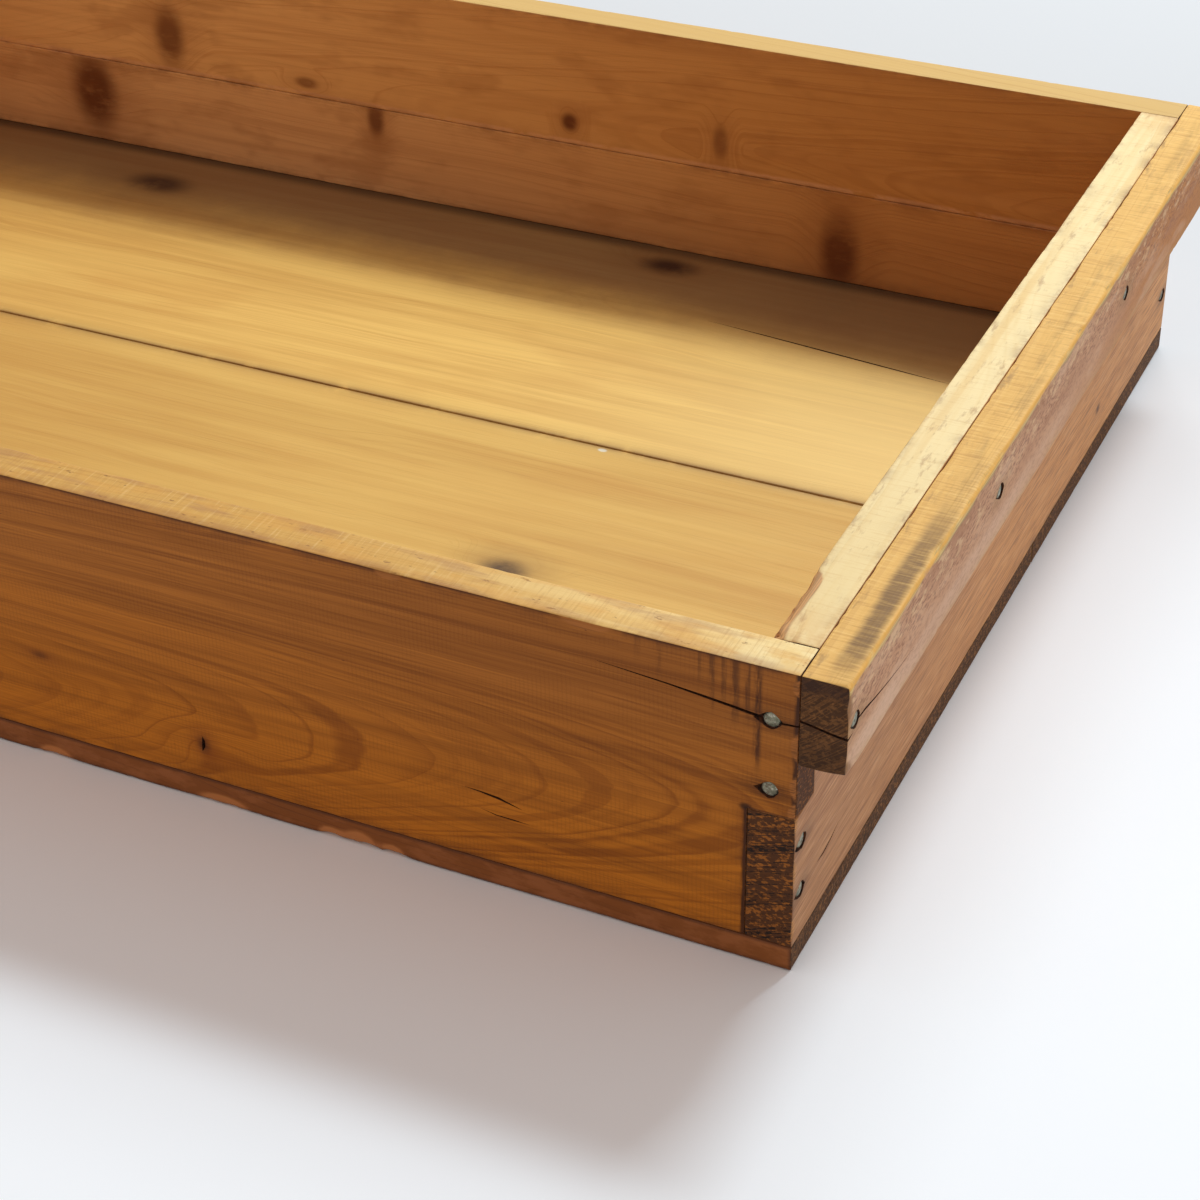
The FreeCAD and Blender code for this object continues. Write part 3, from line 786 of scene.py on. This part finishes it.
def add_crack(mesh, face, path, width, depth):
    """A split along a path, widest part way along and closed at both ends."""
    rings = []
    for i, (across, up, share) in enumerate(path):
        before = path[max(i - 1, 0)]
        after = path[min(i + 1, len(path) - 1)]
        run = np.array([after[0] - before[0], after[1] - before[1]])
        side = np.array([-run[1], run[0]]) / np.linalg.norm(run)
        half = max(width * share / 2, 0.02)
        lip = 0.3
        bottom = depth * max(share, LEAST_CRACK_SHARE)
        spread = half * (1 + lip / bottom)
        ring = [
            on_face(face, across + side[0] * spread, up + side[1] * spread, -lip),
            on_face(face, across - side[0] * spread, up - side[1] * spread, -lip),
            on_face(face, across, up, bottom),
        ]
        rings.append(ring)
    add_rings(mesh, rings)


def placed(name, data):
    """A new object in the scene with this data."""
    thing = bpy.data.objects.new(name, data)
    bpy.context.scene.collection.objects.link(thing)
    return thing


def closed_mesh(name, shape, material):
    """A bmesh as mesh data of one material, with its faces turned outwards."""
    bmesh.ops.recalc_face_normals(shape, faces=shape.faces)
    data = bpy.data.meshes.new(name)
    shape.to_mesh(data)
    shape.free()
    data.materials.append(material)
    return data


def settle(piece):
    """Makes the result of a piece's modifiers its own plain mesh."""
    graph = bpy.context.evaluated_depsgraph_get()
    result = bpy.data.meshes.new_from_object(piece.evaluated_get(graph))
    piece.modifiers.clear()
    old = piece.data
    piece.data = result
    bpy.data.meshes.remove(old)


def cut_away(board, name, shape):
    """Takes a shape out of a board, and gives the cut its own dark torn wood."""
    cutter = placed(name, closed_mesh(name, shape, TORN))
    modifier = board.modifiers.new("cut", "BOOLEAN")
    modifier.operation = "DIFFERENCE"
    modifier.solver = "EXACT"
    modifier.material_mode = "TRANSFER"
    modifier.object = cutter
    settle(board)
    bpy.data.objects.remove(cutter)


def set_attribute(mesh, name, values):
    layer = mesh.attributes.new(name, "FLOAT", "POINT")
    layer.data.foreach_set("value", np.clip(values, 0, 1).astype(np.float32))


def mark_board(mesh, boxes, along, chips, nails):
    """Gives each point its nearness to an arris, a chip and a nail."""
    points = np.zeros(len(mesh.vertices) * 3)
    mesh.vertices.foreach_get("co", points)
    points = points.reshape(-1, 3) / MM
    low, high = board_limits(points, boxes)
    gaps = np.sort(np.minimum(points - low, high - points), axis=1)
    set_attribute(mesh, "arris", np.exp(-np.maximum(gaps[:, 1], 0) / ARRIS_REACH))
    set_attribute(mesh, "torn", np.sum(chip_strength(points, chips), axis=0) ** 2)
    stain = np.zeros(len(points))
    for nail in nails:
        gap = points - np.array(nail)
        gap[:, along] *= 0.5
        stain = np.maximum(stain, np.exp(-np.sum(gap * gap, axis=1) / NAIL_STAIN_REACH**2))
    set_attribute(mesh, "nail", stain)


def make_board(node, boxes, material, nails=(), cracks=(), wear=0.5, chips=()):
    """One board in place of its CAD node: worn, cut by its nails and cracks, and finished."""
    seed = sum(ord(c) for c in node)
    along = int(np.argmax(boxes[0][1] - boxes[0][0]))
    points, quads = board_skin(boxes)
    points = worn(points, boxes, wear, chips, seed)
    mesh = bpy.data.meshes.new(node + "_wood")
    mesh.from_pydata((points * MM).tolist(), [], quads.tolist())
    mesh.materials.append(material)
    board = placed(node + "_wood", mesh)
    random = np.random.default_rng(seed)
    if nails:
        dents = bmesh.new()
        for face, across, up in nails:
            upright = [a for a in range(3) if a != face[0]].index(along) == 1
            add_dent(dents, face, across, up, upright, random)
        cut_away(board, node + "_dents", dents)
    if cracks:
        splits = bmesh.new()
        for face, width, depth, path in cracks:
            add_crack(splits, face, path, width, depth)
        cut_away(board, node + "_splits", splits)
    heads = [on_face(face, across, up, 0.0) for face, across, up in nails]
    mark_board(board.data, boxes, along, chips, heads)
    board.data.shade_smooth()
    board.data.set_sharp_from_angle(angle=SHARP_ANGLE)
    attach(board, "root")
    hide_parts(node)


# Nails: a Geometry Nodes tree puts one turned nail on every point and turns it a little

# Which way each group of nails is driven. The order gives each group its own random lean.
NAIL_GROUPS = {}
for wall, way in (("front", 1), ("back", -1)):
    for side in ("left", "right"):
        NAIL_GROUPS[f"{wall}_{side}_lap_nails"] = (0, way, 0)
for side, way in (("left", 1), ("right", -1)):
    for group in (f"front_{side}_finger", f"back_{side}_finger", f"{side}_batten"):
        NAIL_GROUPS[group + "_nails"] = (way, 0, 0)
for side in ("front", "back", "left", "right"):
    NAIL_GROUPS[side + "_floor_nails"] = (0, 0, 1)
NAIL_SIDES = 20


def nail_heads(node, heading):
    """The middle of each nail's head, in metres, and the nails' length, from the CAD node."""
    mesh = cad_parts[node].data
    points = np.array([v.co for v in mesh.vertices])
    along = points @ np.array(heading)
    rim = points[along < along.min() + NAIL_RIM_DEPTH * MM]
    groups = []
    for point in rim:
        near = [g for g in groups if np.linalg.norm(g[0] - point) < NAIL_HEAD_REACH * MM]
        if near:
            near[0].append(point)
        else:
            groups.append([point])
    centres = [(np.min(g, axis=0) + np.max(g, axis=0)) / 2 for g in groups]
    return centres, float(along.max() - along.min())


def nail_profile(length):
    """Radius and depth of a nail from the crown of its head to its point, in millimetres."""
    length = length / MM
    crown = [(0.0, 0.0), (0.8, 0.01), (1.5, 0.07), (1.95, 0.22), (2.15, 0.42), (2.15, 0.62)]
    neck = [(1.9, 0.82), (1.3, 1.15), (1.1, 1.7)]
    shank = [(1.1, length - 3.9), (0.75, length - 2.4), (0.3, length - 0.7), (0.0, length - 0.05)]
    return crown + neck + shank


def nail_mesh(name, length, material):
    """A round nail whose head is at the origin and whose point is down."""
    mesh = bmesh.new()
    profile = nail_profile(length)
    tip = mesh.verts.new((0, 0, 0))
    rows = []
    for radius, depth in profile[1:-1]:
        turn = [2 * math.pi * i / NAIL_SIDES for i in range(NAIL_SIDES)]
        row = [(radius * math.cos(t), radius * math.sin(t), -depth) for t in turn]
        rows.append([mesh.verts.new(Vector(p) * MM) for p in row])
    point = mesh.verts.new((0, 0, -profile[-1][1] * MM))
    for i in range(NAIL_SIDES):
        j = (i + 1) % NAIL_SIDES
        mesh.faces.new((tip, rows[0][i], rows[0][j]))
        for first, second in zip(rows, rows[1:]):
            mesh.faces.new((first[i], second[i], second[j], first[j]))
        mesh.faces.new((rows[-1][i], point, rows[-1][j]))
    data = closed_mesh(name, mesh, material)
    data.shade_smooth()
    data.set_sharp_from_angle(angle=NAIL_SHARP_ANGLE)
    return data


def nail_tree(material):
    """Points in, nails out: instance, aim, lean, realize and paint."""
    tree = bpy.data.node_groups.new("driven_nails", "GeometryNodeTree")
    sockets = [
        ("Points", "INPUT", "NodeSocketGeometry"),
        ("Nail", "INPUT", "NodeSocketObject"),
        ("Heading", "INPUT", "NodeSocketVector"),
        ("Lean", "INPUT", "NodeSocketFloat"),
        ("Seed", "INPUT", "NodeSocketInt"),
        ("Nails", "OUTPUT", "NodeSocketGeometry"),
    ]
    for name, side, kind in sockets:
        tree.interface.new_socket(name, in_out=side, socket_type=kind)

    def add(kind, settings, inputs):
        """A node with its settings, and its inputs set or linked to an output."""
        node = tree.nodes.new(kind)
        for name, setting in settings.items():
            setattr(node, name, setting)
        for key, value in inputs.items():
            if isinstance(value, bpy.types.NodeSocket):
                tree.links.new(value, node.inputs[key])
            else:
                node.inputs[key].default_value = value
        return node.outputs

    given = add("NodeGroupInput", {}, {})
    nail = add("GeometryNodeObjectInfo", {}, {"Object": given["Nail"]})
    align = add("FunctionNodeAlignRotationToVector", {"axis": "Z"}, {"Vector": given["Heading"]})
    low, high = [
        add("ShaderNodeVectorMath", {"operation": "SCALE"}, {0: (s, s, 0), "Scale": given["Lean"]})
        for s in (-1, 1)
    ]
    bounds = {0: low[0], 1: high[0], "Seed": given["Seed"]}
    lean = add("FunctionNodeRandomValue", {"data_type": "FLOAT_VECTOR"}, bounds)
    turn = add("FunctionNodeEulerToRotation", {}, {0: lean[0]})
    turns = {0: align[0], 1: turn[0]}
    rotate = add("FunctionNodeRotateRotation", {"rotation_space": "LOCAL"}, turns)
    points = {"Points": given["Points"], "Instance": nail["Geometry"], "Rotation": rotate[0]}
    place = add("GeometryNodeInstanceOnPoints", {}, points)
    real = add("GeometryNodeRealizeInstances", {}, {0: place[0]})
    paint = add("GeometryNodeSetMaterial", {}, {"Material": material, "Geometry": real[0]})
    add("NodeGroupOutput", {}, {"Nails": paint[0]})
    return tree


def set_input(modifier, name, value):
    """Sets a modifier's input by its socket's identifier."""
    for item in modifier.node_group.interface.items_tree:
        if item.name == name and item.in_out == "INPUT":
            modifier[item.identifier] = value


def make_nails(steel):
    """Every group of nails, each a plain mesh in place of its CAD node."""
    tree = nail_tree(steel)
    heads = {}
    for number, (node, heading) in enumerate(NAIL_GROUPS.items()):
        centres, length = nail_heads(node, heading)
        heads[node] = [[c / MM for c in centre] for centre in centres]
        pattern = placed(node + "_pattern", nail_mesh(node, length, steel))
        points = bpy.data.meshes.new(node + "_steel")
        points.from_pydata([tuple(c) for c in centres], [], [])
        piece = placed(node + "_steel", points)
        modifier = piece.modifiers.new("nails", "NODES")
        modifier.node_group = tree
        set_input(modifier, "Nail", pattern)
        set_input(modifier, "Heading", tuple(-h for h in heading))
        set_input(modifier, "Lean", NAIL_LEAN)
        set_input(modifier, "Seed", number)
        piece.update_tag()
        settle(piece)
        bpy.data.objects.remove(pattern)
        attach(piece, "root")
        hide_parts(node)
    return heads


TORN = torn_wood()
NAIL_HEADS = make_nails(nail_steel())


def dents(face, *groups):
    """The nails of these groups on a face, as (face, across, up)."""
    axes = [a for a in range(3) if a != face[0]]
    return [(face, head[axes[0]], head[axes[1]]) for g in groups for head in NAIL_HEADS[g]]


# Cracks: face, width, depth, and points across and up the face with their share of the width

FRONT_CRACKS = [
    (FRONT_FACE, 0.9, 5, [
        (206, 79.6, 0.1), (215, 78.9, 0.35), (224, 78.2, 0.5), (233, 77.3, 0.8), (241, 76.4, 0.9),
        (248.2, 75.5, 1),
    ]),
    (FRONT_FACE, 0.7, 5, [(252.6, 75, 1), (255, 75.2, 0.8), (258.5, 75.4, 0.7)]),
    (FRONT_FACE, 0.8, 2.2, [
        (168.4, 29.8, 0.1), (173, 29.5, 0.6), (178, 28.9, 1), (184.4, 27.3, 0.1),
    ]),
    (FRONT_FACE, 0.4, 1.4, [
        (172.4, 24.2, 0.1), (177, 23.3, 0.8), (182, 23.2, 1), (186.5, 23.1, 0.1),
    ]),
    (FRONT_FACE, 1.1, 2.4, [
        (89.6, 21.6, 0.1), (89.9, 20.2, 0.9), (89.7, 18.3, 1), (89.2, 16.6, 0.1),
    ]),
]
RIGHT_CRACKS = [
    (RIGHT_FACE, 0.7, 2.4, [
        (-158.5, 22.4, 0.1), (-154, 22.2, 0.9), (-149, 22.9, 0.7), (-143, 24.4, 0.1),
    ]),
]
RIGHT_BATTEN_CRACKS = [
    (RIGHT_BATTEN_FACE, 0.7, 3, [
        (-168.4, 77, 0.8), (-163, 76.4, 1), (-156, 75, 0.7), (-148, 73.6, 0.5),
        (-138, 72.2, 0.3), (-128, 71.4, 0.1),
    ]),
    (FRONT_FACE, 0.8, 4, [
        (257, 77.2, 0.8), (261, 76.5, 0.8), (265, 75.7, 0.9), (270.5, 74.9, 1),
    ]),
]
FLOOR_CRACKS = [
    (FLOOR_FACE, 0.8, 1.5, [
        (112, 117.5, 0.1), (135, 115.2, 0.7), (160, 112.6, 1), (185, 110, 0.8),
        (204, 108, 0.1),
    ]),
]

SIDE_CUT = node_box("left_end_board")[1][0] - node_box("left_end_board")[0][0]
END_CUT = node_box("front_side_board")[1][1] - node_box("front_side_board")[0][1]

# Chips in the arrises: place, reach and depth

FRONT_CHIPS = [
    ((150, -175, 90), (5, 3, 3), 0.9),
    ((28, -175, 90), (7, 3, 3), 1),
    ((-96, -175, 90), (6, 3, 3), 1.1),
    ((203, -175, 90), (9, 3, 3), 0.6),
    ((257.5, -175, 86), (2.6, 3, 3), 0.9),
    ((257.5, -175, 69), (2.6, 3, 5), 0.7),
    ((257.5, -175, 57), (2.6, 3, 4), 1),
    ((257.5, -175, 49), (3, 3, 3), 1.2),
]
RIGHT_CHIPS = [
    ((245, -150, 90), (4, 13, 4), 3.4),
    ((245, -138, 90), (3, 6, 3), 1.2),
    ((245, -163, 88), (4, 5, 4), 2),
    ((257.5, -175, 46), (3, 3, 3), 1.4),
    ((257.5, -175, 31), (2.6, 3, 4), 0.9),
    ((257.5, -175, 13), (2.6, 3, 4), 1.1),
]


def nibbled(x, z, start, end, step, deepest, seed):
    """Small uneven chips all along an arris that runs from front to back."""
    random = np.random.default_rng(seed)
    chips = []
    for y in np.arange(start, end, step):
        reach = random.uniform(3.0, 9.0)
        depth = random.uniform(0.2, 1.0) ** 2 * deepest
        chips.append(((x, y + random.uniform(-step, step) / 2, z), (2.6, reach, 2.6), depth))
    return chips


RIGHT_BATTEN_CHIPS = nibbled(269.5, 90, -160, 170, 11, 2.2, 5) + [
    ((269.5, -175, 90), (3.2, 4, 3.2), 1.5),
    ((269.5, -175, 83), (2.6, 3, 3), 0.8),
    ((269.5, -175, 65), (3.6, 4, 3.6), 1.8),
]
LEFT_BATTEN_CHIPS = nibbled(-269.5, 90, -160, 170, 15, 1.8, 6)
FLOOR_CHIPS = [
    ((127, -175, 0.5), (4, 4, 3), 2),
    ((136, -175, 1), (5, 4, 4), 2.6),
    ((146, -175, 0.5), (3.5, 4, 3), 2.2),
    ((94, -175, 0.5), (9, 4, 3), 1),
    ((12, -175, 0.5), (5, 4, 3), 1),
    ((257.5, -146, 6.5), (4, 6, 3), 2.4),
    ((40, -175, 0.5), (6, 4, 3), 1.4),
]


# Dark hearts of the knots: middle, reach and strength
LOWER_HEARTS = [
    ((-170, 163, 28), (14, 14, 22), 0.95),
    ((143, 163, 18), (10, 14, 22), 0.95),
    ((-43, 163, 38), (5, 14, 11), 0.85),
]
UPPER_HEARTS = [
    ((-132, 163, 57), (9, 14, 17), 0.8),
    ((38, 163, 50.5), (4.6, 14, 4.8), 1),
    ((97, 163, 53), (4, 14, 9), 0.6),
    ((-72, 163, 47.5), (7, 14, 3), 0.6),
]
FRONT_FLOOR_HEARTS = [((117, -52, 7.5), (11, 8, 12), 0.85)]
REAR_FLOOR_HEARTS = [
    ((-126, 137, 7.5), (19, 11, 12), 0.95),
    ((83, 150, 7.5), (16, 9, 12), 1),
]


def knots_round(hearts, spread, push):
    """Where the rings bend round each heart, as (place, reach, push of the rings)."""
    return [(place, tuple(spread * s for s in size), push) for place, size, _ in hearts]


def make_back():
    """The two boards of the back wall."""
    lower_cut = Cut(0, (210, -12), (0.03, 0.02), 2.6, 5, knots_round(LOWER_HEARTS, 2.2, 5))
    upper_cut = Cut(0, (200, 44), (-0.04, 0.05), 2.4, 6, knots_round(UPPER_HEARTS, 2.4, 4))
    lower = wall_wood("back_lower_wood", lower_cut, LOWER_HEARTS)
    upper = wall_wood("back_upper_wood", upper_cut, UPPER_HEARTS)
    make_board("back_lower_board", whole_board("back_lower_board"), lower)
    shape = stepped_board("back_upper_board", 0, SIDE_CUT, True)
    nails = dents(BACK_FACE, "back_left_lap_nails", "back_right_lap_nails")
    make_board("back_upper_board", shape, upper, nails, (), 0.6)


def make_ends():
    """The two end walls, then the battens on them."""
    ends = [
        ("left", LEFT_FACE, (), ()),
        ("right", RIGHT_FACE, RIGHT_CRACKS, RIGHT_CHIPS),
    ]
    for side, face, cracks, chips in ends:
        node = side + "_end_board"
        cut = Cut(1, (face[2] * 309, -133), (0.01, 0.03), 5.2, 3)
        wood = end_wood(side + "_end_wood", cut)
        shape = stepped_board(node, 1, END_CUT, False)
        nails = dents(face, f"front_{side}_finger_nails", f"back_{side}_finger_nails")
        make_board(node, shape, wood, nails, cracks, 0.6, chips)
    battens = [
        ("left", LEFT_BATTEN_FACE, (), LEFT_BATTEN_CHIPS),
        ("right", RIGHT_BATTEN_FACE, RIGHT_BATTEN_CRACKS, RIGHT_BATTEN_CHIPS),
    ]
    for side, face, cracks, chips in battens:
        node = side + "_batten"
        cut = Cut(1, (face[2] * 194, 175), (0.01, 0.02), 2.3, 3)
        wood = batten_wood(node + "_wood", cut)
        nails = dents(face, node + "_nails")
        make_board(node, whole_board(node), wood, nails, cracks, 1, chips)


def make_bottom():
    """The two floor boards, with the nails under each."""
    sides = ("front", "back", "left", "right")
    under = dents(UNDER_FACE, *[side + "_floor_nails" for side in sides])
    rear_start = node_box("rear_floor_board")[0][1]
    front_nails = [nail for nail in under if nail[2] < rear_start]
    rear_nails = [nail for nail in under if nail[2] > rear_start]
    front_knots = knots_round(FRONT_FLOOR_HEARTS, 2.6, 6)
    rear_knots = knots_round(REAR_FLOOR_HEARTS, 2.4, 6)
    front_cut = Cut(0, (-70, -52), (0.03, -0.01), 3.4, 9, front_knots)
    rear_cut = Cut(0, (118, -60), (0.05, 0.01), 3.2, 9, rear_knots)
    floors = [
        ("front_floor", front_cut, FRONT_FLOOR_HEARTS, front_nails, (), FLOOR_CHIPS),
        ("rear_floor", rear_cut, REAR_FLOOR_HEARTS, rear_nails, FLOOR_CRACKS, ()),
    ]
    for name, cut, hearts, nails, cracks, chips in floors:
        node = name + "_board"
        wood = floor_wood(name + "_wood", cut, hearts)
        make_board(node, whole_board(node), wood, nails, cracks, 0.6, chips)


def make_boards():
    """All the boards, each with its own cut of wood."""
    shape = stepped_board("front_side_board", 0, SIDE_CUT, True)
    nails = dents(FRONT_FACE, "front_left_lap_nails", "front_right_lap_nails")
    make_board("front_side_board", shape, front_wood(), nails, FRONT_CRACKS, 0.8, FRONT_CHIPS)
    make_back()
    make_ends()
    make_bottom()


make_boards()

# Studio: a pale floor, even light from all round, and soft windows behind

AMBIENT = (0.525, 0.475, 0.452, 1.0)
BACKDROP = (0.9, 0.915, 0.94, 1.0)
FAR_GLOW = (0.3, 0.34, 0.37, 1.0)
CAMERA_PLACE = (0.42474, -0.63427, 0.44148)
CAMERA_TURN = (55.887, 0.795, 24.818)
CAMERA_LENS = 78.93
WINDOW_COLOUR = (0.76, 0.91, 1.0)
FLOOR_HALF = 5.0
FLOOR_LEVEL = -0.0002
# Each window: name, middle, width and height in metres, watts
WINDOWS = [
    ("window_core", (0.46, 1.25, 1.65), (0.62, 0.24), 22.0),
    ("window_wide", (0.15, 1.25, 1.41), (1.15, 0.62), 15.0),
]


def make_floor():
    """A pale floor just under the box, which fades into the background far away."""
    mesh = bpy.data.meshes.new("studio_floor")
    turns = ((-1, -1), (1, -1), (1, 1), (-1, 1))
    corners = [(x * FLOOR_HALF, y * FLOOR_HALF, FLOOR_LEVEL) for x, y in turns]
    mesh.from_pydata(corners, [], [(0, 1, 2, 3)])
    finish = Finish("pale_floor")
    place = finish.place()
    # Painted shade: the floor is darker towards the back, nearer the windows, which holds down
    # their light there.
    far = finish.parts(place)[1] + finish.noise(place, 240.0, 2.0) * 100.0
    colour = finish.mix(far.rise(-60.0, 420.0), (254, 254, 255), (208, 205, 204))
    distance = finish.vector("LENGTH", place, output=1)
    glow = finish.mix(distance.rise(1000.0, 3000.0), (0.0, 0.0, 0.0, 1.0), FAR_GLOW)
    looks = {"Emission_Color": glow, "Emission_Strength": 1.0, "Specular_IOR_Level": 0.1}
    mesh.materials.append(finish.done(Base_Color=colour, Roughness=0.9, **looks))
    floor = placed("studio_floor", mesh)


def make_world():
    """Even light from all round, seen as a pale background by the camera and in gloss."""
    world = bpy.data.worlds.new("studio")
    bpy.context.scene.world = world
    world.use_nodes = True
    tree = world.node_tree
    background = tree.nodes["Background"]
    path = tree.nodes.new("ShaderNodeLightPath")
    seen = path.outputs["Is Camera Ray"]
    for name in ("Is Glossy Ray", "Is Transmission Ray"):
        either = tree.nodes.new("ShaderNodeMath")
        either.operation = "MAXIMUM"
        tree.links.new(seen, either.inputs[0])
        tree.links.new(path.outputs[name], either.inputs[1])
        seen = either.outputs[0]
    colour = tree.nodes.new("ShaderNodeMix")
    colour.data_type = "RGBA"
    colour.inputs[6].default_value = AMBIENT
    colour.inputs[7].default_value = BACKDROP
    tree.links.new(seen, colour.inputs[0])
    tree.links.new(colour.outputs[2], background.inputs["Color"])


def make_windows():
    """Soft panels behind the box and above it, turned towards it."""
    for name, middle, size, watts in WINDOWS:
        lamp = bpy.data.lights.new(name, "AREA")
        lamp.shape = "RECTANGLE"
        lamp.size, lamp.size_y = size
        lamp.energy = watts
        lamp.color = WINDOW_COLOUR
        window = placed(name, lamp)
        window.location = middle
        window.rotation_euler = (-Vector(middle)).to_track_quat("-Z", "Y").to_euler()


def make_camera():
    data = bpy.data.cameras.new("camera")
    data.lens = CAMERA_LENS
    data.sensor_width = 36.0
    data.clip_start = 0.02
    camera = placed("camera", data)
    camera.location = CAMERA_PLACE
    camera.rotation_euler = [math.radians(turn) for turn in CAMERA_TURN]
    bpy.context.scene.camera = camera


make_floor()
make_world()
make_windows()
make_camera()
bpy.context.scene.view_settings.view_transform = "Standard"
